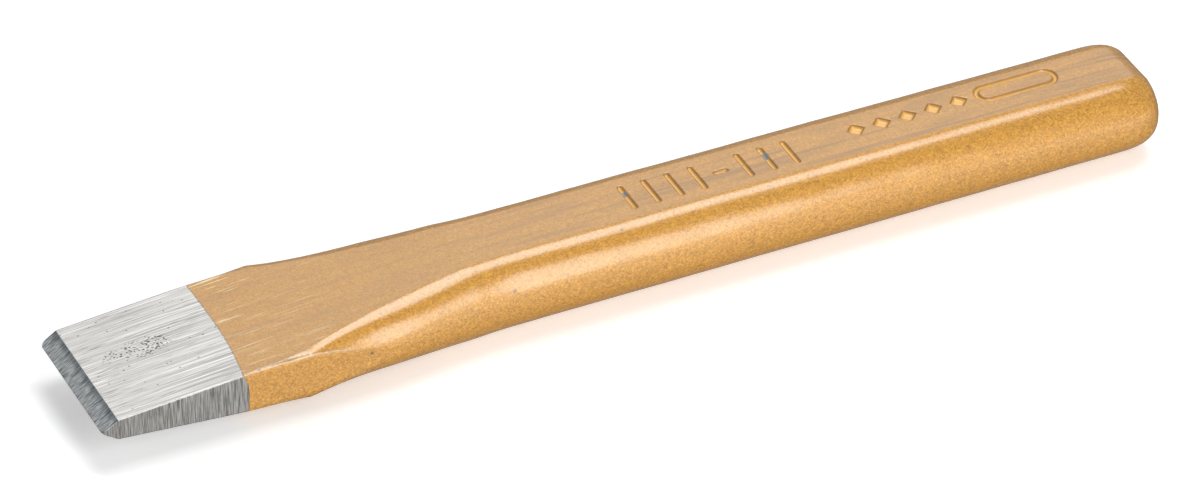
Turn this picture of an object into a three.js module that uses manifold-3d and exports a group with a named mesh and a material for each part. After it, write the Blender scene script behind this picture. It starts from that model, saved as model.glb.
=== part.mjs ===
// Flat cold chisel: one drop-forged steel bar from cutting edge to striking head, with a coat of
// lacquer over everything but the ground blade. Millimetres, +Z up. The chisel lies on a flat of its
// shank: -X is the cutting edge, +X the striking head, and the origin is under its middle.
import * as THREE from "three";
import { mergeVertices } from "three/addons/utils/BufferGeometryUtils.js";
import Module from "manifold-3d";

const wasm = await Module();
wasm.setup();

// Driving dimensions. Stations are measured from the cutting edge.
const LENGTH = 125;
const SHANK_WIDTH = 13.8;
const SHANK_THICKNESS = 9.2;
const FLAT_WIDTH = 7.0; // each of the shank's two flats, where the neck ends; its sides are bowed
const HEAD_FLAT_WIDTH = 6.1; // the flats narrow to this at the head
const EDGE_WIDTH = 16.5; // the blade at its cutting edge
const ROOT_WIDTH = 16.6; // the blade where its full width ends
const BLADE_ROOT = 21; // where the blade's full width ends
const BEVEL_LENGTH = 1.75; // the ground cutting bevel, on both faces
const BEVEL_THICKNESS = 2.45; // the blade where the bevel starts
const EDGE_THICKNESS = 0.12;
const WEDGE_END = 43; // where the wedge runs out on the shank's flats
const NECK_END = 49.5; // where the flats reach their own width
const SWEEP_EASE = 0.08; // how gently the flats' edges leave the blade's sides
const FACET_END = 33.5; // where the blade's ground sides run out
const FADE_EASE = 0.25; // how gently they do
const DRAW_IN = [31, 48]; // the neck narrows to the shank's width between these
const BARE_LENGTH = 16.1; // ground steel, with no lacquer

// The lacquer, and the clearance under it.
const COAT = 0.08;
const COAT_GAP = 0.02;
const COAT_START = BARE_LENGTH + 0.05;

// Small shapes of the section.
const CORNER_RADIUS = 0.6; // of the cutting edge's two corners, seen from above
const EDGE_BREAK = 0.2; // along the blade's long edges
const CREASE = THREE.MathUtils.degToRad(50); // between the blade's flat side and the bowed surface
const FACET_HEIGHT = 3.05; // half the height of the blade's flat side, at its root
const SIDE_FLAT = 0.2; // half the height of the narrow band down the middle of the shank's sides
const ARC_STEPS = 7; // facets from a flat to the side band

// The head's crown: its profile is a rounded quarter, fuller than an ellipse.
const CROWN_LENGTH = 5;
const CROWN_INSET = 3.2; // how far the section has drawn in at the end face
const CROWN_POWER = 2.9;
const CROWN_STEPS = 9;

// Plain marks pressed into the top flat. Their x is a station, their y is across the flat.
const STAMP_DEPTH = 0.3;
const STROKE = 0.55;
const DASH_LENGTH = 1.7;
const BAR_HEIGHT = 4.2;
const BARS = { from: 63.3, pitch: 2.75, count: 8, y: 0.1, dash: 4 };
const DIAMONDS = { from: 90.8, pitch: 3.1, count: 5, y: 0.75, size: 2.0 };
const RING = { x: 110.2, y: 0.75, length: 9.4, width: 2.4 };

const { clamp, lerp, smoothstep } = THREE.MathUtils;

// The bowed side is an arc through the flat's edge and the side band. It spans this angle.
const sideReach = (SHANK_WIDTH - FLAT_WIDTH) / 2;
const sideRise = SHANK_THICKNESS / 2 - SIDE_FLAT;
const sideRadius = (sideReach ** 2 + sideRise ** 2) / (2 * sideReach);
const SIDE_ANGLE = Math.asin(sideRise / sideRadius);

// Half the thickness at a station: bevel, then wedge, then shank.
function halfThickness(x) {
  if (x < BEVEL_LENGTH) {
    return lerp(EDGE_THICKNESS, BEVEL_THICKNESS, x / BEVEL_LENGTH) / 2;
  }
  const t = Math.min((x - BEVEL_LENGTH) / (WEDGE_END - BEVEL_LENGTH), 1);
  return lerp(BEVEL_THICKNESS, SHANK_THICKNESS, t) / 2;
}

// Half the overall width: the blade, with its rounded corners, then the neck drawing in to the shank.
function halfWidth(x) {
  const blade = lerp(EDGE_WIDTH, ROOT_WIDTH, Math.min(x / BLADE_ROOT, 1)) / 2;
  if (x < CORNER_RADIUS) {
    const run = CORNER_RADIUS - x;
    return blade - CORNER_RADIUS + Math.sqrt(CORNER_RADIUS ** 2 - run ** 2);
  }
  return lerp(blade, SHANK_WIDTH / 2, smoothstep(x, ...DRAW_IN));
}

// Half the width of the flat or wedge face, whose edges sweep in from the blade's full width.
function halfFlat(x) {
  const t = (x - BLADE_ROOT) / (NECK_END - BLADE_ROOT);
  const swept = clamp((t + Math.hypot(t, SWEEP_EASE)) / 2, 0, 1);
  const taper = clamp((x - NECK_END) / (LENGTH - NECK_END), 0, 1);
  const shank = lerp(FLAT_WIDTH, HEAD_FLAT_WIDTH, taper);
  return Math.min(lerp(shank, ROOT_WIDTH, (1 - swept) ** 2) / 2, halfWidth(x));
}

// From 0, where the blade's ground sides are whole, to 1, where they have run out.
function facetFade(x) {
  const t = (x - BLADE_ROOT) / (FACET_END - BLADE_ROOT);
  if (t < 1 - FADE_EASE) {
    return Math.max(t, 0);
  }
  return 1 - Math.max(1 + FADE_EASE - t, 0) ** 2 / (4 * FADE_EASE);
}

// Half the height of the flat side: all of the blade's side, fading to the shank's narrow band.
function halfFacet(x) {
  return lerp(FACET_HEIGHT, SIDE_FLAT, facetFade(x) ** 1.3);
}

// The angle at which the bowed surface meets the flat side: a crease on the blade, gone with the sides.
function creaseAngle(x) {
  return CREASE * (1 - facetFade(x) ** 1.5);
}

// One quarter of the section, from the side to the edge of the flat, as [y, z] pairs: an arc from the
// crease angle to SIDE_ANGLE, stretched to reach both. The whole outline is drawn in by inset.
function quarter(x, inset) {
  const top = halfThickness(x);
  const side = halfWidth(x);
  const broken = Math.min(EDGE_BREAK, 0.4 * top);
  const flat = Math.min(halfFlat(x), side - 0.7 * broken);
  const facet = Math.min(halfFacet(x), top - broken);
  const crease = creaseAngle(x);
  const points = [];
  for (let i = 0; i <= ARC_STEPS; i++) {
    const s = i / ARC_STEPS;
    const angle = lerp(crease, SIDE_ANGLE, s);
    const inward = (Math.cos(crease) - Math.cos(angle)) / (Math.cos(crease) - Math.cos(SIDE_ANGLE));
    const upward = (Math.sin(angle) - Math.sin(crease)) / (Math.sin(SIDE_ANGLE) - Math.sin(crease));
    const y = lerp(side, flat, inward) - inset * Math.cos(s * SIDE_ANGLE);
    const z = lerp(facet, top, upward) - (inset * Math.sin(s * SIDE_ANGLE)) / Math.sin(SIDE_ANGLE);
    points.push([y, z]);
  }
  return points;
}

// The closed outline at a station, going round from +Y to +Z.
function outline(x, inset) {
  const up = quarter(x, inset);
  const down = [...up].reverse();
  return [
    ...up,
    ...down.map(([y, z]) => [-y, z]),
    ...up.map(([y, z]) => [-y, -z]),
    ...down.map(([y, z]) => [y, -z]),
  ];
}

// A closed skin through rings of [place, station, inset]: place is where the ring stands along X.
function loft(rings) {
  const positions = [];
  const index = [];
  const size = 4 * (ARC_STEPS + 1);
  for (const [place, station, inset] of rings) {
    for (const [y, z] of outline(station, inset)) {
      positions.push(place, y, z);
    }
  }
  for (let r = 0; r + 1 < rings.length; r++) {
    for (let i = 0; i < size; i++) {
      const a = r * size + i;
      const b = r * size + ((i + 1) % size);
      index.push(a, b, a + size);
      index.push(b, b + size, a + size);
    }
  }
  const first = positions.length / 3;
  const last = first + 1;
  positions.push(rings[0][0], 0, 0);
  positions.push(rings.at(-1)[0], 0, 0);
  const end = (rings.length - 1) * size;
  for (let i = 0; i < size; i++) {
    const next = (i + 1) % size;
    index.push(first, next, i);
    index.push(last, end + i, end + next);
  }
  const geometry = new THREE.BufferGeometry();
  geometry.setAttribute("position", new THREE.Float32BufferAttribute(positions, 3));
  geometry.setIndex(index);
  return geometry;
}

const spaced = (from, to, count) =>
  Array.from({ length: count + 1 }, (_, i) => lerp(from, to, i / count));

// The rings behind the lacquer line, drawn in by depth all over, the head's end face included.
function coatedRings(start, depth) {
  const neck = spaced(BLADE_ROOT, NECK_END, 20);
  const shank = spaced(NECK_END, LENGTH - CROWN_LENGTH, 5).slice(1, -1);
  const body = [start, 18.5, ...neck, ...shank].map((x) => [x, x, depth]);
  const crown = spaced(0, Math.PI / 2, CROWN_STEPS).map((angle) => {
    const back = CROWN_LENGTH * (1 - Math.sin(angle) ** (2 / CROWN_POWER));
    const inset = CROWN_INSET * (1 - Math.max(Math.cos(angle), 0) ** (2 / CROWN_POWER));
    return [LENGTH - back - depth, LENGTH - back, inset + depth];
  });
  return [...body, ...crown];
}

// The bare blade's rings, up to the lacquer line.
function bareRings() {
  const corner = spaced(0, CORNER_RADIUS, 5).map((x) => x ** 2 / CORNER_RADIUS);
  return [...corner, BEVEL_LENGTH, 9, BARE_LENGTH].map((x) => [x, x, 0]);
}

// An outline in X and Y, pressed into the top flat to a depth below it, as a cutting solid.
function punch(shape, depth) {
  const above = 1;
  const geometry = new THREE.ExtrudeGeometry(shape, {
    depth: depth + above,
    bevelEnabled: false,
    curveSegments: 8,
  });
  return geometry.translate(0, 0, SHANK_THICKNESS / 2 - depth);
}

function strokeShape(x, y, along, across) {
  const points = [
    [-along, -across],
    [along, -across],
    [along, across],
    [-along, across],
  ];
  return new THREE.Shape(points.map(([u, v]) => new THREE.Vector2(x + u / 2, y + v / 2)));
}

function diamondShape(x, y, half) {
  const points = [
    [-half, 0],
    [0, -half],
    [half, 0],
    [0, half],
  ];
  return new THREE.Shape(points.map(([u, v]) => new THREE.Vector2(x + u, y + v)));
}

function addStadium(path, x, y, length, width) {
  const radius = width / 2;
  const run = length / 2 - radius;
  path.moveTo(x - run, y - radius);
  path.lineTo(x + run, y - radius);
  path.absarc(x + run, y, radius, -Math.PI / 2, Math.PI / 2, false);
  path.lineTo(x - run, y + radius);
  path.absarc(x - run, y, radius, Math.PI / 2, (Math.PI * 3) / 2, false);
  return path;
}

function ringShape(x, y, length, width, stroke) {
  const shape = addStadium(new THREE.Shape(), x, y, length + stroke, width + stroke);
  shape.holes.push(addStadium(new THREE.Path(), x, y, length - stroke, width - stroke));
  return shape;
}

// Every stamped mark: a row of bars with a dash in it, a row of diamonds, and a long ring. Each
// recess is grown sideways by depth, as the flat itself is lowered by it.
function punches(depth) {
  const floor = STAMP_DEPTH + depth;
  const stroke = STROKE + 2 * depth;
  const cutters = [];
  for (let i = 0; i < BARS.count; i++) {
    const x = BARS.from + BARS.pitch * i;
    const dash = i === BARS.dash;
    const size = dash
      ? [DASH_LENGTH + 2 * depth, stroke]
      : [stroke, BAR_HEIGHT + 2 * depth];
    cutters.push(punch(strokeShape(x, BARS.y, ...size), floor));
  }
  for (let i = 0; i < DIAMONDS.count; i++) {
    const x = DIAMONDS.from + DIAMONDS.pitch * i;
    const half = DIAMONDS.size / 2 + depth * Math.SQRT2;
    cutters.push(punch(diamondShape(x, DIAMONDS.y, half), floor));
  }
  cutters.push(punch(ringShape(RING.x, RING.y, RING.length, RING.width, stroke), floor));
  return cutters;
}

function toManifold(geometry) {
  const bare = geometry.clone();
  bare.deleteAttribute("normal");
  bare.deleteAttribute("uv");
  const welded = mergeVertices(bare, 1e-5);
  const mesh = new wasm.Mesh({
    numProp: 3,
    vertProperties: new Float32Array(welded.attributes.position.array),
    triVerts: new Uint32Array(welded.index.array),
  });
  return new wasm.Manifold(mesh);
}

function toGeometry(solid) {
  const mesh = solid.getMesh();
  const geometry = new THREE.BufferGeometry();
  geometry.setAttribute("position", new THREE.BufferAttribute(mesh.vertProperties, 3));
  geometry.setIndex(new THREE.BufferAttribute(mesh.triVerts, 1));
  const flat = geometry.toNonIndexed();
  flat.computeVertexNormals();
  return flat;
}

function stamped(rings, depth) {
  let solid = toManifold(loft(rings));
  for (const cutter of punches(depth)) {
    solid = solid.subtract(toManifold(cutter));
  }
  return solid;
}

const steelDepth = COAT + COAT_GAP;
const shoulder = BARE_LENGTH + 0.02;
const steel = stamped([...bareRings(), ...coatedRings(shoulder, steelDepth)], steelDepth);
const coatOutside = stamped(coatedRings(COAT_START, 0), 0);
const coatInside = stamped(coatedRings(COAT_START - 1, COAT), COAT);
const coat = coatOutside.subtract(coatInside);

const groundSteel = new THREE.MeshStandardMaterial({
  color: 0xa3a09a,
  roughness: 0.38,
  metalness: 0.9,
});
const goldLacquer = new THREE.MeshStandardMaterial({
  color: 0xc9a063,
  roughness: 0.42,
  metalness: 0.65,
});

function named(name, solid, material) {
  const mesh = new THREE.Mesh(toGeometry(solid), material);
  mesh.name = name;
  return mesh;
}

const chisel = new THREE.Group();
chisel.name = "cold_chisel";
chisel.add(named("steel_forging", steel, groundSteel));
chisel.add(named("lacquer_coat", coat, goldLacquer));
chisel.position.set(-LENGTH / 2, 0, SHANK_THICKNESS / 2);

export default chisel;
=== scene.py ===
import math

import bpy
import numpy as np
from mathutils import Matrix, Vector


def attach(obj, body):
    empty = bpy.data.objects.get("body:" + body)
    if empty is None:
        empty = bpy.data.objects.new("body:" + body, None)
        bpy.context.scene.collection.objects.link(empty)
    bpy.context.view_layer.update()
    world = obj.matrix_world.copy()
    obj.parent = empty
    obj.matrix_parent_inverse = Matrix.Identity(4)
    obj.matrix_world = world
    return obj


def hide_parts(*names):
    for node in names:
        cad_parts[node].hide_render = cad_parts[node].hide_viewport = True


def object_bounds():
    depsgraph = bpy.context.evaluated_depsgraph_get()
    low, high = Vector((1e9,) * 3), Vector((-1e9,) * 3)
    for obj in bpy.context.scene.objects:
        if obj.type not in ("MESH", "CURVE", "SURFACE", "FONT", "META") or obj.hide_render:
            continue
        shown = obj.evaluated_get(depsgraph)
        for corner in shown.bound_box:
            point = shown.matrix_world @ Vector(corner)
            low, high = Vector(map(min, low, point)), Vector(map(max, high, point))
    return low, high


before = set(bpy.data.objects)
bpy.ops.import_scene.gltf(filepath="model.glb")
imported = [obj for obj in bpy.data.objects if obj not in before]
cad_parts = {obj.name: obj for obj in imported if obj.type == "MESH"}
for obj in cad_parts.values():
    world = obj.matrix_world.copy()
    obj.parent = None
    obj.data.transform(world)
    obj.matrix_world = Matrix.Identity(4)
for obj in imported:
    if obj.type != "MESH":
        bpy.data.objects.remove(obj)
CAD_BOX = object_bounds()

MM = 0.001

# The chisel's sizes, in millimetres. Stations run from the cutting edge to the end of the head.
LENGTH = (CAD_BOX[1][0] - CAD_BOX[0][0]) / MM
THICKNESS = (CAD_BOX[1][2] - CAD_BOX[0][2]) / MM
SHANK_WIDTH = 13.8
FLAT_WIDTH = 7.0
HEAD_FLAT_WIDTH = 6.1
EDGE_WIDTH = 16.5
ROOT_WIDTH = 16.6
BLADE_ROOT = 21
BEVEL_LENGTH = 1.75
BEVEL_THICKNESS = 2.45
EDGE_THICKNESS = 0.12
WEDGE_END = 43
NECK_END = 49.5
SWEEP_EASE = 0.08
FACET_END = 33.5
FADE_EASE = 0.25
DRAW_IN = (31, 48)
BARE_LENGTH = 16.1
COAT = 0.08
COAT_GAP = 0.02
CORNER_RADIUS = 0.6
EDGE_BREAK = 0.2
BLADE_EDGE_BREAK = 0.06  # finer than in the CAD, so that it doesn't catch a white line of light
FACET_HEIGHT = 3.05
SIDE_FLAT = 0.2
CREASE = math.radians(50)
CROWN_LENGTH = 5.0
CROWN_INSET = 3.2
CROWN_POWER = 2.9

# The stamped marks on the top flat.
STAMP_DEPTH = 0.3
STROKE = 0.5
BARS = {
    "start": 63.3,
    "pitch": 2.75,
    "count": 8,
    "y": 0.1,
    "height": 4.2,
    "dash": 4,  # this one of the eight is a dash
    "dash_length": 1.7,
}
DIAMONDS = {"start": 90.8, "pitch": 3.1, "count": 5, "y": 0.75, "half": 1.0}
RING = {"x": 110.2, "y": 0.75, "length": 9.4, "width": 2.4}
STAMP_ZONE = (61, 116.5)

# How finely the meshes are cut, in millimetres.
NECK_STEP = 0.35
FINE_STEP = 0.14  # under the stamped marks, and over the bare steel
SHANK_STEP = 0.5
CROWN_STEPS = 36
HIDDEN_CROWN_STEPS = 10

FAR_AWAY = 9.0  # for a distance that doesn't matter
WAVINESS = 0.07
LINE_REACH = 3.5  # how far along the bar the lacquer line's wandering is felt


def smooth(low, high, x):
    t = np.clip((x - low) / (high - low), 0, 1)
    return t * t * (3 - 2 * t)


def lerp(a, b, t):
    return a + (b - a) * t


# The section of the bar, as in the CAD, for arrays of stations.

_side_reach = (SHANK_WIDTH - FLAT_WIDTH) / 2
_side_rise = THICKNESS / 2 - SIDE_FLAT
SIDE_ANGLE = math.asin(_side_rise / ((_side_reach**2 + _side_rise**2) / (2 * _side_reach)))


def half_thickness(x):
    bevel = lerp(EDGE_THICKNESS, BEVEL_THICKNESS, np.clip(x / BEVEL_LENGTH, 0, 1))
    t = np.clip((x - BEVEL_LENGTH) / (WEDGE_END - BEVEL_LENGTH), 0, 1)
    wedge = lerp(BEVEL_THICKNESS, THICKNESS, t)
    return np.where(x < BEVEL_LENGTH, bevel, wedge) / 2


def half_width(x):
    blade = lerp(EDGE_WIDTH, ROOT_WIDTH, np.clip(x / BLADE_ROOT, 0, 1)) / 2
    run = np.clip(CORNER_RADIUS - x, 0, CORNER_RADIUS)
    corner = CORNER_RADIUS - np.sqrt(CORNER_RADIUS**2 - run**2)
    return lerp(blade, SHANK_WIDTH / 2, smooth(*DRAW_IN, x)) - corner


def half_flat(x):
    t = (x - BLADE_ROOT) / (NECK_END - BLADE_ROOT)
    swept = np.clip((t + np.hypot(t, SWEEP_EASE)) / 2, 0, 1)
    taper = np.clip((x - NECK_END) / (LENGTH - NECK_END), 0, 1)
    shank = lerp(FLAT_WIDTH, HEAD_FLAT_WIDTH, taper)
    return np.minimum(lerp(shank, ROOT_WIDTH, (1 - swept) ** 2) / 2, half_width(x))


def facet_fade(x):
    t = (x - BLADE_ROOT) / (FACET_END - BLADE_ROOT)
    eased = 1 - np.clip(1 + FADE_EASE - t, 0, 2 * FADE_EASE) ** 2 / (4 * FADE_EASE)
    return np.where(t < 1 - FADE_EASE, np.clip(t, 0, 1), eased)


def quarter(x, inset, s):
    """Points of one quarter of the outline: s is 0 at the flat side and 1 at the edge of the flat."""
    top = half_thickness(x)
    side = half_width(x)
    broken = lerp(BLADE_EDGE_BREAK, EDGE_BREAK, smooth(BARE_LENGTH - 1, BARE_LENGTH + 3, x))
    broken = np.minimum(broken, 0.4 * top)
    flat = np.minimum(half_flat(x), side - 0.7 * broken)
    facet = np.minimum(lerp(FACET_HEIGHT, SIDE_FLAT, facet_fade(x) ** 1.3), top - broken)
    crease = CREASE * (1 - facet_fade(x) ** 1.5)
    angle = lerp(crease, SIDE_ANGLE, s)
    inward = (np.cos(crease) - np.cos(angle)) / (np.cos(crease) - math.cos(SIDE_ANGLE))
    upward = (np.sin(angle) - np.sin(crease)) / (math.sin(SIDE_ANGLE) - np.sin(crease))
    y = lerp(side, flat, inward) - inset * np.cos(s * SIDE_ANGLE)
    z = lerp(facet, top, upward) - inset * np.sin(s * SIDE_ANGLE) / math.sin(SIDE_ANGLE)
    return y, z


class Ring:
    """The columns of a section: top flat, near side, bottom flat and far side, going round."""

    def __init__(self, top, arc, band, bottom):
        self.top, self.arc, self.band, self.bottom = top, arc, band, bottom

    def points(self, x, inset):
        x = np.asarray(x, float).reshape(-1, 1)
        inset = np.broadcast_to(np.asarray(inset, float).reshape(-1, 1), x.shape)
        rising = np.linspace(0, 1, self.arc + 1)[None, :]
        ay, az = quarter(x, inset, rising)
        across = np.linspace(1, -1, self.top + 1)[None, :]
        down = np.linspace(1, -1, self.band + 1)[None, 1:-1]
        under = np.linspace(-1, 1, self.bottom + 1)[None, :]
        ys = [
            ay[:, -1:] * across,
            -ay[:, -2::-1],
            -ay[:, :1] * np.ones_like(down),
            -ay[:, :-1],
            ay[:, -1:] * under,
            ay[:, -2::-1],
            ay[:, :1] * np.ones_like(down),
            ay[:, :-1],
        ]
        zs = [
            az[:, -1:] * np.ones_like(across),
            az[:, -2::-1],
            az[:, :1] * down,
            -az[:, :-1],
            -az[:, -1:] * np.ones_like(under),
            -az[:, -2::-1],
            -az[:, :1] * down,
            az[:, :-1],
        ]
        return np.concatenate(ys, 1), np.concatenate(zs, 1)

    def edge_columns(self):
        """The columns on the four edges of the two flats."""
        near_top = self.top
        near_bottom = near_top + 2 * self.arc + self.band
        far_bottom = near_bottom + self.bottom
        return [0, near_top, near_bottom, far_bottom]

    def fold_columns(self):
        """The columns where the curved corners meet the flat sides."""
        near = self.top + self.arc
        far = self.top + 3 * self.arc + self.band + self.bottom
        return [near, near + self.band, far, far + self.band]


# Heights of the stamped marks over the top flat.


def segment_distance(x, y, ax, ay, bx, by):
    dx, dy = bx - ax, by - ay
    t = np.clip(((x - ax) * dx + (y - ay) * dy) / (dx * dx + dy * dy), 0, 1)
    return np.hypot(x - ax - t * dx, y - ay - t * dy)


def mark_distance(x, y):
    """Distance from the nearest stroke's edge: negative inside a mark."""
    half = STROKE / 2
    nearest = np.full(np.broadcast(x, y).shape, FAR_AWAY)
    for i in range(BARS["count"]):
        cx = BARS["start"] + BARS["pitch"] * i
        if i == BARS["dash"]:
            reach = BARS["dash_length"] / 2 - half
            d = segment_distance(x, y, cx - reach, BARS["y"], cx + reach, BARS["y"])
        else:
            reach = BARS["height"] / 2 - half
            d = segment_distance(x, y, cx, BARS["y"] - reach, cx, BARS["y"] + reach)
        nearest = np.minimum(nearest, d - half)
    for i in range(DIAMONDS["count"]):
        cx = DIAMONDS["start"] + DIAMONDS["pitch"] * i
        d = (np.abs(x - cx) + np.abs(y - DIAMONDS["y"]) - DIAMONDS["half"]) / math.sqrt(2)
        nearest = np.minimum(nearest, d)
    run = (RING["length"] - RING["width"]) / 2
    spine = segment_distance(x, y, RING["x"] - run, RING["y"], RING["x"] + run, RING["y"])
    nearest = np.minimum(nearest, np.abs(spine - RING["width"] / 2) - half)
    return nearest


def stamp_height(x, y):
    d = mark_distance(x, y)
    floor = -STAMP_DEPTH * (1 - smooth(-0.22, 0.1, d))
    lip = 0.03 * np.exp(-(((d - 0.2) / 0.12) ** 2))
    return floor + lip


def waviness(x, y, z):
    """The gentle unevenness of a forging, drawn inwards only."""
    a = np.sin(0.21 * x + 0.5 * z + 1.0) * np.sin(0.37 * y + 0.11 * x)
    b = np.sin(0.53 * x - 0.6 * y + 2.0) * np.sin(0.8 * z + 0.3 * x + 0.7)
    return 0.5 + 0.3 * a + 0.2 * b


def lacquer_line(y, z):
    """The station where the lacquer starts, round the blade. It wanders, and is ragged on the sides."""
    on_top = 16.5 - 0.0085 * np.clip(2 - y, 0, 20) ** 2 - 0.003 * np.clip(y - 2, 0, 20) ** 2
    near = 16.2 - 0.65 * smooth(0.8, 2.6, z)
    far = 16.12 + 0.26 * smooth(-2.4, 2.4, z)
    below = 16.12 + 0.12 * np.sin(0.5 * y)
    side = np.where(y < 0, near, far)
    is_flat = np.abs(y) < 8.05
    line = np.where(is_flat, np.where(z > 0, on_top, below), side)
    ragged = 0.05 * np.sin(5.1 * z + 1) * np.sin(11.7 * z) + 0.03 * np.sin(7.3 * y + 2.2 * z)
    return line + ragged


# Meshes.


def grid_mesh(name, rows, close_start=True, close_end=True):
    """A mesh through rows of points that each go round the bar. rows is (row, column, xyz) in mm."""
    count, size = rows.shape[:2]
    verts = rows.reshape(-1, 3)
    r = np.arange(count - 1)[:, None] * size
    c = np.arange(size)[None, :]
    n = (c + 1) % size
    quads = np.stack([r + c, r + n, r + size + n, r + size + c], -1).reshape(-1, 4)
    faces = quads.tolist()
    caps = []
    if close_start:
        caps.append((rows[0], 0, False))
    if close_end:
        caps.append((rows[-1], (count - 1) * size, True))
    for ring, base, last in caps:
        centre = len(verts)
        verts = np.vstack([verts, ring.mean(0)])
        for i in range(size):
            j = (i + 1) % size
            faces.append([base + i, base + j, centre] if last else [base + j, base + i, centre])
    placed = verts.copy()
    placed[:, 0] -= LENGTH / 2
    placed[:, 2] += THICKNESS / 2
    mesh = bpy.data.meshes.new(name)
    mesh.from_pydata((placed * MM).tolist(), [], faces)
    mesh.update()
    mesh.shade_smooth()
    piece = bpy.data.objects.new(name, mesh)
    bpy.context.scene.collection.objects.link(piece)
    return piece, verts


def store(piece, name, values):
    layer = piece.data.attributes.new(name, "FLOAT", "POINT")
    layer.data.foreach_set("value", np.asarray(values, np.float32))


def outline_distance(ys, zs, columns):
    """How far each point is, round the outline, from the nearest of these columns."""
    step = np.hypot(np.roll(ys, -1, 1) - ys, np.roll(zs, -1, 1) - zs)
    along = np.concatenate([np.zeros((len(ys), 1)), np.cumsum(step, 1)], 1)
    total = along[:, -1:]
    along = along[:, :-1]
    best = np.full(ys.shape, 99.0)
    for column in columns:
        gap = np.abs(along - along[:, column : column + 1])
        best = np.minimum(best, np.minimum(gap, total - gap))
    return best


def edge_distance(ring, ys, zs):
    """Distance from the nearest edge of a flat: negative on the flats."""
    columns = np.arange(ys.shape[1])
    a, b, c, d = ring.edge_columns()
    on_flat = (columns <= b) | ((columns >= c) & (columns <= d))
    return outline_distance(ys, zs, [a, b, c, d]) * np.where(on_flat, -1, 1)


def crown_profile(steps):
    """Distances from the head's end, and how far the section has drawn in there."""
    angle = np.linspace(0, math.pi / 2, steps + 1)
    back = CROWN_LENGTH * (1 - np.sin(angle) ** (2 / CROWN_POWER))
    inset = CROWN_INSET * (1 - np.clip(np.cos(angle), 0, 1) ** (2 / CROWN_POWER))
    return back, inset


def bar_rows(ring, places, depth, stations=None, inset=0.0):
    """Rows of xyz for stations, drawn in by depth, with the lacquer line worked into their places."""
    places = np.asarray(places, float)
    stations = places if stations is None else np.asarray(stations, float)
    ys, zs = ring.points(stations, depth + inset)
    near_line = np.exp(-(((places - BARE_LENGTH) / LINE_REACH) ** 2))[:, None]
    shift = (lacquer_line(ys, zs) - BARE_LENGTH) * near_line
    xs = places[:, None] + shift
    return xs, ys, zs


def end_face_rows(row, steps=6):
    """Rows that close the head's end face towards its middle."""
    centre = row.mean(0)
    shrink = np.linspace(1, 0, steps + 1)[1:-1]
    return np.stack([lerp(centre, row, t) for t in shrink])


def make_lacquer():
    ring = Ring(top=60, arc=14, band=8, bottom=14)
    lip = [0, 0.03, 0.08, 0.16]
    lead = np.concatenate([lip, np.arange(NECK_STEP, 44.5, NECK_STEP)]) + BARE_LENGTH
    marks = np.arange(*STAMP_ZONE, FINE_STEP)
    rest = np.arange(STAMP_ZONE[1] + 0.1, LENGTH - CROWN_LENGTH, SHANK_STEP)
    body = np.concatenate([lead[lead < STAMP_ZONE[0] - 0.1], marks, rest])
    back, drawn = crown_profile(CROWN_STEPS)
    places = np.concatenate([body, LENGTH - back])
    inset = np.concatenate([np.zeros(len(body)), drawn])
    xs, ys, zs = bar_rows(ring, places, 0.0, inset=inset)
    distance = edge_distance(ring, ys, zs)
    top_face = np.zeros(ys.shape, bool)
    top_face[:, : ring.top + 1] = True
    raised = np.where(top_face, stamp_height(xs, ys), 0.0)
    fade = smooth(0, 2, places - BARE_LENGTH) * smooth(0, 3, LENGTH - places)
    sink = WAVINESS * waviness(xs, ys, zs) * fade[:, None]
    away = np.maximum(np.hypot(ys, zs), 1)
    ys = ys - sink * ys / away
    zs = zs - sink * zs / away * np.where(zs < 0, 0.3, 1) + raised
    # The coat's edge stands up from the steel as a rounded lip.
    outer = np.stack([xs, ys, zs], -1)
    inner_ring = Ring(top=60, arc=14, band=8, bottom=14)
    turn_in = []
    for place, depth in ((BARE_LENGTH, COAT * 0.5), (BARE_LENGTH + 0.02, COAT)):
        x, y, z = bar_rows(inner_ring, [place], depth)
        turn_in.append(np.stack([x, y, z], -1)[0])
    inner_places = np.concatenate(
        [np.arange(17, 60, 2.0), [60.4], np.arange(61, 117, 4.0), [117, 119]]
    )
    x, y, z = bar_rows(inner_ring, inner_places, COAT)
    buried = smooth(60, 61, inner_places) * (1 - smooth(117, 118, inner_places))
    z = np.where(top_face[:1] & (z > 0), z - 0.4 * buried[:, None], z)
    inner = list(np.stack([x, y, z], -1))
    inner_back, drawn = crown_profile(HIDDEN_CROWN_STEPS)
    x, y, z = bar_rows(
        inner_ring, LENGTH - inner_back - COAT, COAT, stations=LENGTH - inner_back, inset=drawn
    )
    inner += list(np.stack([x, y, z], -1))
    lining = list(end_face_rows(inner[-1], 3))
    rows = list(lining[::-1]) + inner[::-1] + turn_in[::-1]
    rows += list(outer) + list(end_face_rows(outer[-1]))
    piece, verts = grid_mesh("lacquer", np.array(rows))
    skipped = len(lining) + len(inner) + len(turn_in)
    size = ys.shape[1]
    outside = slice(skipped * size, skipped * size + distance.size)
    fold = outline_distance(ys, zs, ring.fold_columns())
    pressed = np.where(top_face, mark_distance(xs, ys), FAR_AWAY)
    for name, values in (("edge", distance), ("fold", fold), ("mark", pressed)):
        layer = np.full(len(verts), FAR_AWAY)
        layer[outside] = values.ravel()
        store(piece, name, layer)
    store(piece, "station", verts[:, 0])
    return piece


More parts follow.
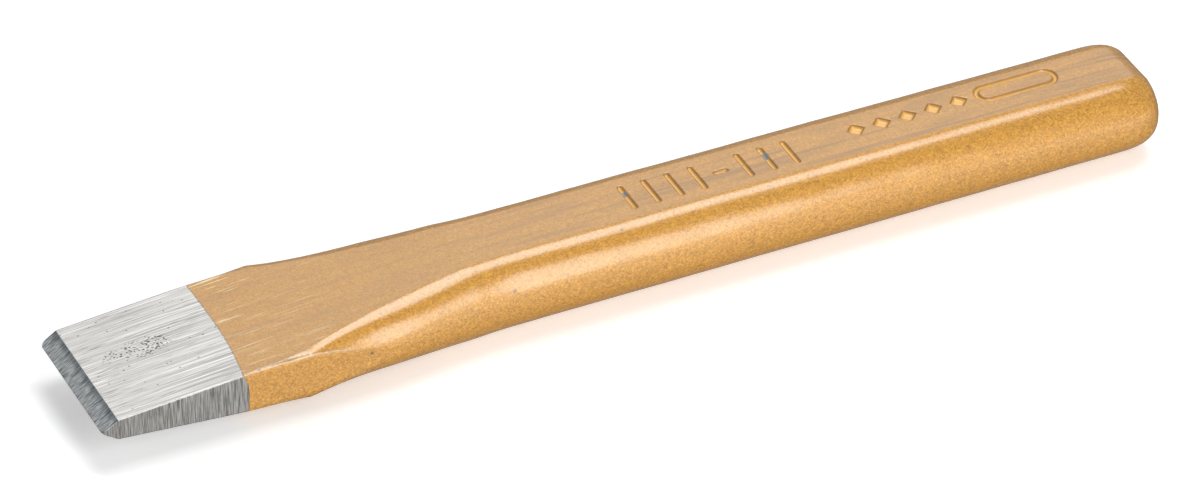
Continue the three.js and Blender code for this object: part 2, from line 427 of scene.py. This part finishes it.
def make_forging():
    ring = Ring(top=120, arc=6, band=30, bottom=60)
    corner = CORNER_RADIUS * np.linspace(0, 1, 8) ** 2
    bevel = np.arange(0.8, BEVEL_LENGTH - 0.05, FINE_STEP)
    start = np.array([BEVEL_LENGTH - 0.03, BEVEL_LENGTH, BEVEL_LENGTH + 0.03])
    ground = np.arange(BEVEL_LENGTH + 0.18, BARE_LENGTH - 0.05, FINE_STEP)
    bare = np.concatenate([corner, bevel, start, ground, [BARE_LENGTH]])
    xs, ys, zs = bar_rows(ring, bare, 0.0)
    distance = edge_distance(ring, ys, zs)
    rows = list(np.stack([xs, ys, zs], -1))
    under = COAT + COAT_GAP
    covered = np.concatenate(
        [[BARE_LENGTH + 0.03], np.arange(18, 60, 2.0), [60], np.arange(61, 118, 3.0), [118]]
    )
    x, y, z = bar_rows(ring, covered, under)
    buried = smooth(59, 61, covered) * (1 - smooth(116, 118, covered))
    top_face = np.arange(y.shape[1]) <= ring.top
    z = np.where(top_face[None, :], z - 0.6 * buried[:, None], z)
    rows += list(np.stack([x, y, z], -1))
    back, drawn = crown_profile(HIDDEN_CROWN_STEPS)
    x, y, z = bar_rows(ring, LENGTH - back - under, under, stations=LENGTH - back, inset=drawn)
    rows += list(np.stack([x, y, z], -1))
    rows += list(end_face_rows(rows[-1], 3))
    piece, verts = grid_mesh("forging", np.array(rows))
    edge = np.full(len(verts), 5.0)
    edge[: distance.size] = distance.ravel()
    store(piece, "edge", edge)
    store(piece, "station", verts[:, 0])
    return piece


# Materials.


class Graph:
    """Short names for making a material's nodes."""

    def __init__(self, name):
        self.material = bpy.data.materials.new(name)
        self.material.use_nodes = True
        self.tree = self.material.node_tree
        self.tree.nodes.clear()
        self.shader = self.tree.nodes.new("ShaderNodeBsdfPrincipled")
        output = self.tree.nodes.new("ShaderNodeOutputMaterial")
        self.tree.links.new(self.shader.outputs[0], output.inputs["Surface"])

    def put(self, socket, value):
        if isinstance(value, bpy.types.NodeSocket):
            self.tree.links.new(value, socket)
        elif value is not None:
            socket.default_value = value

    def math(self, operation, a, b=None, c=None, clamp=False):
        node = self.tree.nodes.new("ShaderNodeMath")
        node.operation = operation
        node.use_clamp = clamp
        for socket, value in zip(node.inputs, (a, b, c)):
            self.put(socket, value)
        return node.outputs[0]

    def attribute(self, name):
        node = self.tree.nodes.new("ShaderNodeAttribute")
        node.attribute_name = name
        return node.outputs["Fac"]

    def place(self, stretch=(1, 1, 1)):
        """Object coordinates in millimetres, times stretch."""
        coordinates = self.tree.nodes.new("ShaderNodeTexCoord")
        mapping = self.tree.nodes.new("ShaderNodeMapping")
        self.tree.links.new(coordinates.outputs["Object"], mapping.inputs["Vector"])
        mapping.inputs["Scale"].default_value = [s / MM for s in stretch]
        return mapping.outputs[0]

    def noise(self, stretch, detail=2.0, rough=0.5, low=0.0, high=1.0, shift=0.0):
        node = self.tree.nodes.new("ShaderNodeTexNoise")
        node.noise_dimensions = "4D"
        self.tree.links.new(self.place(stretch), node.inputs["Vector"])
        node.inputs["Scale"].default_value = 1.0
        node.inputs["Detail"].default_value = detail
        node.inputs["Roughness"].default_value = rough
        node.inputs["W"].default_value = shift
        if (low, high) == (0.0, 1.0):
            return node.outputs["Fac"]
        return self.remap(node.outputs["Fac"], low, high)

    def cells(self, stretch, low, high):
        """Distance from scattered points, as a mask that is 1 at each point."""
        node = self.tree.nodes.new("ShaderNodeTexVoronoi")
        self.tree.links.new(self.place(stretch), node.inputs["Vector"])
        node.inputs["Scale"].default_value = 1.0
        return self.remap(node.outputs["Distance"], high, low)

    def flakes(self, stretch):
        """A random value for each small cell."""
        node = self.tree.nodes.new("ShaderNodeTexVoronoi")
        self.tree.links.new(self.place(stretch), node.inputs["Vector"])
        node.inputs["Scale"].default_value = 1.0
        split = self.tree.nodes.new("ShaderNodeSeparateColor")
        self.tree.links.new(node.outputs["Color"], split.inputs[0])
        return split.outputs[0]

    def remap(self, value, low, high, to_low=0.0, to_high=1.0):
        node = self.tree.nodes.new("ShaderNodeMapRange")
        node.interpolation_type = "SMOOTHSTEP"
        self.put(node.inputs["Value"], value)
        node.inputs["From Min"].default_value = low
        node.inputs["From Max"].default_value = high
        node.inputs["To Min"].default_value = to_low
        node.inputs["To Max"].default_value = to_high
        return node.outputs["Result"]

    def mix(self, factor, a, b, blend="MIX"):
        node = self.tree.nodes.new("ShaderNodeMix")
        node.data_type = "RGBA"
        node.blend_type = blend
        self.put(node.inputs[0], factor)
        for socket, value in zip(node.inputs[6:8], (a, b)):
            self.put(socket, (*value, 1) if isinstance(value, tuple) else value)
        return node.outputs[2]

    def bump(self, height, distance, strength=1.0, under=None):
        node = self.tree.nodes.new("ShaderNodeBump")
        node.inputs["Strength"].default_value = strength
        node.inputs["Distance"].default_value = distance * MM
        self.put(node.inputs["Height"], height)
        self.put(node.inputs["Normal"], under)
        return node.outputs[0]

    def set(self, **inputs):
        for name, value in inputs.items():
            socket = self.shader.inputs[name.replace("_", " ")]
            self.put(socket, (*value, 1) if isinstance(value, tuple) else value)


def oval(g, centre, radii):
    """1 in the middle of an oval on the top, falling to 0 at its rim. Millimetres from the middle."""
    coordinates = g.tree.nodes.new("ShaderNodeTexCoord")
    split = g.tree.nodes.new("ShaderNodeSeparateXYZ")
    g.tree.links.new(coordinates.outputs["Object"], split.inputs[0])
    squares = []
    for socket, middle, radius in zip(split.outputs, centre, radii):
        offset = g.math("MULTIPLY_ADD", socket, 1 / (radius * MM), -middle / radius)
        squares.append(g.math("POWER", offset, 2.0))
    reach = g.math("ADD", *squares)
    on_top = g.math("GREATER_THAN", split.outputs["Z"], THICKNESS / 2 * MM)
    return g.math("MULTIPLY", g.remap(reach, 1.0, 0.1), on_top)


def dent(g, centre, radius):
    """1 at a place on the surface, in millimetres, falling to 0 a radius away with a ragged rim."""
    coordinates = g.tree.nodes.new("ShaderNodeTexCoord")
    gap = g.tree.nodes.new("ShaderNodeVectorMath")
    gap.operation = "DISTANCE"
    g.tree.links.new(coordinates.outputs["Object"], gap.inputs[0])
    gap.inputs[1].default_value = [c * MM for c in centre]
    ragged = g.noise((4, 4, 4), detail=2, low=0.2, high=0.8, shift=40)
    wide = g.math("MULTIPLY_ADD", ragged, -0.5 * radius * MM, gap.outputs["Value"])
    return g.remap(wide, 0.6 * radius * MM, 0.2 * radius * MM)


def product(g, first, *others):
    for other in others:
        first = g.math("MULTIPLY", first, other)
    return first


def steel_material():
    g = Graph("ground_steel")
    edge = g.attribute("edge")
    station = g.attribute("station")
    on_side = g.remap(edge, 0.0, 0.12)
    on_bevel = g.remap(station, BEVEL_LENGTH + 0.02, BEVEL_LENGTH - 0.02)
    long_fine = g.noise((0.07, 9, 0.5), detail=3, rough=0.7)
    long_broad = g.noise((0.05, 1.6, 0.3), detail=2, shift=3)
    cross_fine = g.noise((10, 0.4, 0.4), detail=3, rough=0.65, shift=5)
    bevel_fine = g.noise((0.5, 8, 1), detail=3, rough=0.65, shift=6)
    # The flats are ground lengthwise, with a few deeper bright and dark lines.
    light = g.mix(g.remap(long_fine, 0.35, 0.65), (0.40, 0.39, 0.375), (0.80, 0.78, 0.755))
    light = g.mix(g.remap(long_broad, 0.45, 0.7, 0, 0.3), light, (0.53, 0.56, 0.54))
    bright_lines = g.noise((0.09, 9, 0.5), detail=1, low=0.60, high=0.72, shift=14)
    dark_lines = g.noise((0.35, 9, 0.6), detail=1, low=0.63, high=0.74, shift=17)
    light = g.mix(bright_lines, light, (0.98, 0.97, 0.95))
    light = g.mix(dark_lines, light, (0.20, 0.19, 0.18))
    # Painted shade: the flats are darkened along their edges, so that the broken edge shows no white
    # line of light.
    light = g.mix(g.remap(edge, -0.15, 0.0, 0, 0.7), light, (0.30, 0.295, 0.285))
    # The sides are ground across, and the bevels along, with a darker band where they start.
    dark = g.mix(g.remap(cross_fine, 0.33, 0.67), (0.16, 0.156, 0.149), (0.54, 0.527, 0.504))
    blue = g.mix(g.remap(bevel_fine, 0.33, 0.65), (0.15, 0.18, 0.20), (0.93, 0.96, 0.97))
    blue = g.mix(g.remap(station, 1.0, 1.6, 0, 0.6), blue, (0.12, 0.15, 0.17))
    color = g.mix(on_side, g.mix(on_bevel, light, blue), dark)
    # Pits: a cluster near the edge, and a few strays.
    ragged = g.noise((2.0, 2.6, 2.0), detail=3, low=0.40, high=0.52, shift=12)
    place = oval(g, (-54.6, 1.2), (4.6, 1.7))
    cluster = product(g, place, g.cells((2.8, 4.6, 1), 0.20, 0.48), ragged)
    strays = g.math("MULTIPLY", g.cells((0.8, 1.3, 1.3), 0.05, 0.12), 0.8)
    pits = g.math("MAXIMUM", g.math("MULTIPLY", cluster, 1.6, clamp=True), strays)
    pits = product(g, pits, g.math("SUBTRACT", 1.0, on_side), g.math("SUBTRACT", 1.0, on_bevel))
    color = g.mix(pits, color, (0.06, 0.05, 0.045))
    fine = g.mix(on_side, g.mix(on_bevel, long_fine, bevel_fine), cross_fine)
    normal = g.bump(fine, 0.02, 0.5)
    normal = g.bump(pits, -0.06, 0.8, normal)
    g.set(
        Base_Color=color,
        Metallic=0.85,
        Roughness=g.remap(long_broad, 0.2, 0.8, 0.36, 0.5),
        Normal=normal,
    )
    return g.material


# Small dark dents in the lacquer, as centres and radii, and two spots of bare metal in the marks.
DENTS = (
    ((-19.97, -6.44, 6.8), 0.32),
    ((-18.39, -6.48, 6.71), 0.26),
    ((-15.43, -6.54, 6.58), 0.3),
    ((-25.53, -6.88, 4.34), 0.3),
    ((-26.2, -6.7, 2.9), 0.35),
    ((-23.68, -6.2, 1.9), 0.3),
    ((-2.02, -4.34, 8.9), 0.3),
    ((-32.5, -8.2, 5.2), 0.28),
)
BARE_SPOTS = (((0.75, 0.9), (0.7, 0.45)), ((17.35, 0.7), (0.7, 0.65)))


def lacquer_material():
    g = Graph("gold_lacquer")
    edge = g.attribute("edge")
    fold = g.attribute("fold")
    station = g.attribute("station")
    mark = g.attribute("mark")
    on_flat = g.remap(edge, 0.0, -0.1)
    grain = g.flakes((7, 7, 7))
    mottle = g.noise((3, 3, 3), detail=3, rough=0.7, low=0.3, high=0.7, shift=2)
    speckle = g.math("MULTIPLY_ADD", grain, 0.6, g.math("MULTIPLY", mottle, 0.4))
    gold = g.mix(speckle, (0.33, 0.143, 0.006), (0.78, 0.385, 0.044))
    flat_gold = g.mix(speckle, (0.41, 0.195, 0.020), (0.72, 0.365, 0.066))
    fleck = g.remap(g.flakes((6, 6, 6)), 0.88, 1.0, 0, 0.16)
    gold = g.mix(fleck, gold, (1.0, 0.62, 0.18))
    color = g.mix(on_flat, gold, flat_gold)
    # Darker streaks run along the flats, and painted shade darkens the flats towards their edges.
    streak = g.noise((0.045, 0.9, 0.1), detail=3, rough=0.6, low=0.50, high=0.66)
    drift = g.noise((0.09, 0.5, 0.1), detail=2, low=0.45, high=0.75, shift=4)
    # Painted shade along the edges of the flats.
    rim = g.math("MULTIPLY", g.remap(edge, -1.4, -0.1), 0.28)
    streaks_and_edge_shade = g.math("MAXIMUM", g.math("MAXIMUM", streak, g.math("MULTIPLY", drift, 0.8)), rim)
    along = g.remap(station, 36.0, 70.0, 0.45, 1.0)
    color = g.mix(product(g, streaks_and_edge_shade, on_flat, along, 0.62), color, (0.30, 0.155, 0.05))
    # Painted shade: the crown is darkened to brown where it turns over to the end face.
    turned = g.remap(station, LENGTH - 1.5, LENGTH - 0.5, 0, 0.5)
    color = g.mix(turned, color, (0.30, 0.14, 0.03))
    # Painted light in the stamps: a painted highlight brightens them inside, and painted shade draws a
    # brown line round them.
    color = g.mix(g.remap(mark, 0.0, -0.12, 0, 0.8), color, (0.95, 0.54, 0.11))
    outline = g.math("MULTIPLY", g.remap(mark, 0.13, 0.05), g.remap(mark, -0.10, 0.0))
    color = g.mix(g.math("MULTIPLY", outline, 0.45), color, (0.24, 0.11, 0.03))
    # Bright scratches near the lacquer's start, thinning out along the neck.
    scratch = g.noise((0.12, 6, 0.4), detail=2, rough=0.6, low=0.56, high=0.64, shift=21)
    patch = g.noise((0.25, 0.9, 0.2), detail=2, low=0.44, high=0.56, shift=23)
    near_edge = g.remap(edge, -4.0, -1.0, 0.6, 1.0)
    scratch = product(g, scratch, patch, g.remap(station, 34.0, 17.0), near_edge, on_flat)
    color = g.mix(scratch, color, (0.98, 0.78, 0.42))
    # Steel showing where the long edges of the neck have worn.
    worn = g.noise((1.2, 3, 3), detail=3, low=0.36, high=0.56, shift=30)
    on_edge = g.math("MULTIPLY", g.remap(edge, -0.10, 0.0), g.remap(edge, 0.20, 0.08))
    on_edge = g.math("MULTIPLY", on_edge, g.remap(station, 25.0, 20.0))
    on_fold = g.math("MULTIPLY", g.remap(fold, 0.22, 0.08), g.remap(station, 32.0, 24.0))
    on_fold = product(g, on_fold, g.remap(station, 18.0, 20.0), 0.6)
    worn = g.math("MULTIPLY", worn, g.math("MAXIMUM", on_edge, on_fold))
    steel = g.mix(g.flakes((3, 5, 5)), (0.15, 0.135, 0.10), (0.52, 0.45, 0.31))
    color = g.mix(worn, color, steel)
    for centre, radii in BARE_SPOTS:
        bare = product(g, oval(g, centre, radii), g.remap(mark, 0.15, 0.0), 2.0)
        color = g.mix(g.math("MINIMUM", bare, 0.9), color, (0.25, 0.27, 0.29))
    specks = g.cells((0.55, 1.1, 1.1), 0.03, 0.07)
    for centre, radius in DENTS:
        specks = g.math("MAXIMUM", specks, dent(g, centre, radius))
    color = g.mix(g.math("MULTIPLY", specks, 0.8), color, (0.16, 0.09, 0.04))
    normal = g.bump(grain, 0.008, 0.3)
    normal = g.bump(g.noise((1.6, 2.2, 2.2), detail=3, shift=9), 0.03, 0.3, normal)
    normal = g.bump(specks, -0.1, 0.6, normal)
    g.set(
        Base_Color=color,
        Metallic=0.35,
        Roughness=g.remap(grain, 0, 1, 0.52, 0.68),
        Coat_Weight=1.0,
        Coat_IOR=1.74,
        Coat_Roughness=0.2,
        Normal=normal,
    )
    return g.material


def floor_material():
    g = Graph("floor")
    speck = g.noise((0.02, 0.02, 0.02), detail=2)
    g.set(Base_Color=g.mix(speck, (0.96, 0.96, 0.96), (0.98, 0.98, 0.98)), Roughness=0.9)
    g.set(Emission_Color=(1.0, 1.0, 1.0), Emission_Strength=0.28)
    return g.material


# The camera, floor and lights.

# The room's brightness at heights from 0, straight below, to 1, straight above.
BACK_LEVELS = (
    (0.0, 0.2),
    (0.2, 0.3),
    (0.5, 0.3),
    (0.66, 0.4),
    (0.88, 0.4),
    (0.97, 0.15),
    (1.0, 0.12),
)
FRONT_LEVELS = (
    (0.0, 0.5),
    (0.2, 0.8),
    (0.32, 1.0),
    (0.42, 1.4),
    (0.5, 1.3),
    (0.58, 0.6),
    (0.66, 0.4),
    (0.85, 0.2),
    (1.0, 0.12),
)

CAMERA_AZIMUTH = math.radians(-26.823)
CAMERA_ELEVATION = math.radians(36.792)
CAMERA_ROLL = math.radians(1.148)
CAMERA_TARGET = Vector((-2.342, 0.054, 4.588)) * MM
CAMERA_DISTANCE = 723.1 * MM
SENSOR = 36.0
FOCAL = 5.7267 * SENSOR


def direction(azimuth, elevation):
    """From the object towards a place seen at these angles: azimuth 0 is the -Y side."""
    return Vector(
        (
            math.sin(azimuth) * math.cos(elevation),
            -math.cos(azimuth) * math.cos(elevation),
            math.sin(elevation),
        )
    )


def add_camera():
    data = bpy.data.cameras.new("camera")
    data.lens = FOCAL
    data.sensor_width = SENSOR
    data.clip_start = 0.01
    camera = bpy.data.objects.new("camera", data)
    back = direction(CAMERA_AZIMUTH, CAMERA_ELEVATION)
    right = Vector((0, 0, 1)).cross(back).normalized()
    up = back.cross(right)
    turned = math.cos(CAMERA_ROLL) * right + math.sin(CAMERA_ROLL) * up
    lifted = math.cos(CAMERA_ROLL) * up - math.sin(CAMERA_ROLL) * right
    place = Matrix((turned, lifted, back)).transposed().to_4x4()
    place.translation = CAMERA_TARGET + back * CAMERA_DISTANCE
    camera.matrix_world = place
    bpy.context.scene.collection.objects.link(camera)
    bpy.context.scene.camera = camera


def add_panel(name, towards, distance, size, power, shape="RECTANGLE"):
    """A soft light, facing the middle of the chisel."""
    data = bpy.data.lights.new(name, "AREA")
    data.shape = shape
    data.size, data.size_y = size
    data.energy = power
    light = bpy.data.objects.new(name, data)
    towards = Vector(towards).normalized()
    light.location = towards * distance
    light.rotation_euler = towards.to_track_quat("Z", "Y").to_euler()
    bpy.context.scene.collection.objects.link(light)


def add_floor():
    half = 3.0
    mesh = bpy.data.meshes.new("floor")
    corners = [(-half, -half, 0), (half, -half, 0), (half, half, 0), (-half, half, 0)]
    mesh.from_pydata(corners, [], [(0, 1, 2, 3)])
    floor = bpy.data.objects.new("floor", mesh)
    floor.data.materials.append(floor_material())
    bpy.context.scene.collection.objects.link(floor)
    floor.visible_glossy = False


def add_world():
    """Soft even light, brighter low down at the front, as a paler room would be there."""
    world = bpy.data.worlds.new("world")
    world.use_nodes = True
    tree = world.node_tree
    coordinates = tree.nodes.new("ShaderNodeTexCoord")
    split = tree.nodes.new("ShaderNodeSeparateXYZ")
    tree.links.new(coordinates.outputs["Generated"], split.inputs[0])
    blend = tree.nodes.new("ShaderNodeMix")
    blend.data_type = "RGBA"
    front = tree.nodes.new("ShaderNodeMapRange")
    front.inputs["From Min"].default_value = -0.3
    front.inputs["From Max"].default_value = -0.8
    tree.links.new(split.outputs["Y"], front.inputs["Value"])
    tree.links.new(front.outputs[0], blend.inputs[0])
    for levels, socket in ((BACK_LEVELS, blend.inputs[6]), (FRONT_LEVELS, blend.inputs[7])):
        height = tree.nodes.new("ShaderNodeMapRange")
        height.inputs["From Min"].default_value = -1
        ramp = tree.nodes.new("ShaderNodeValToRGB")
        ramp.color_ramp.elements.remove(ramp.color_ramp.elements[1])
        for position, level in levels:
            stop = ramp.color_ramp.elements.new(position)
            stop.color = (level, level, level, 1)
        tree.links.new(split.outputs["Z"], height.inputs["Value"])
        tree.links.new(height.outputs[0], ramp.inputs[0])
        tree.links.new(ramp.outputs[0], socket)
    tree.links.new(blend.outputs[2], tree.nodes["Background"].inputs["Color"])
    bpy.context.scene.world = world


add_camera()
add_floor()
add_world()
add_panel("back_panel", (0.40, 0.75, 0.60), 0.9, (0.7, 0.5), 1.05)
add_panel("overhead", (0.21, 0.19, 0.93), 0.8, (0.56, 0.29), 2.85)
add_panel("front", (0.045, -0.30, 0.145), 0.34, (0.23, 0.36), 0.84, "ELLIPSE")
bpy.context.scene.view_settings.view_transform = "Standard"

forging = make_forging()
forging.data.materials.append(steel_material())
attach(forging, "root")
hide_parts("steel_forging")

lacquer = make_lacquer()
lacquer.data.materials.append(lacquer_material())
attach(lacquer, "root")
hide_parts("lacquer_coat")
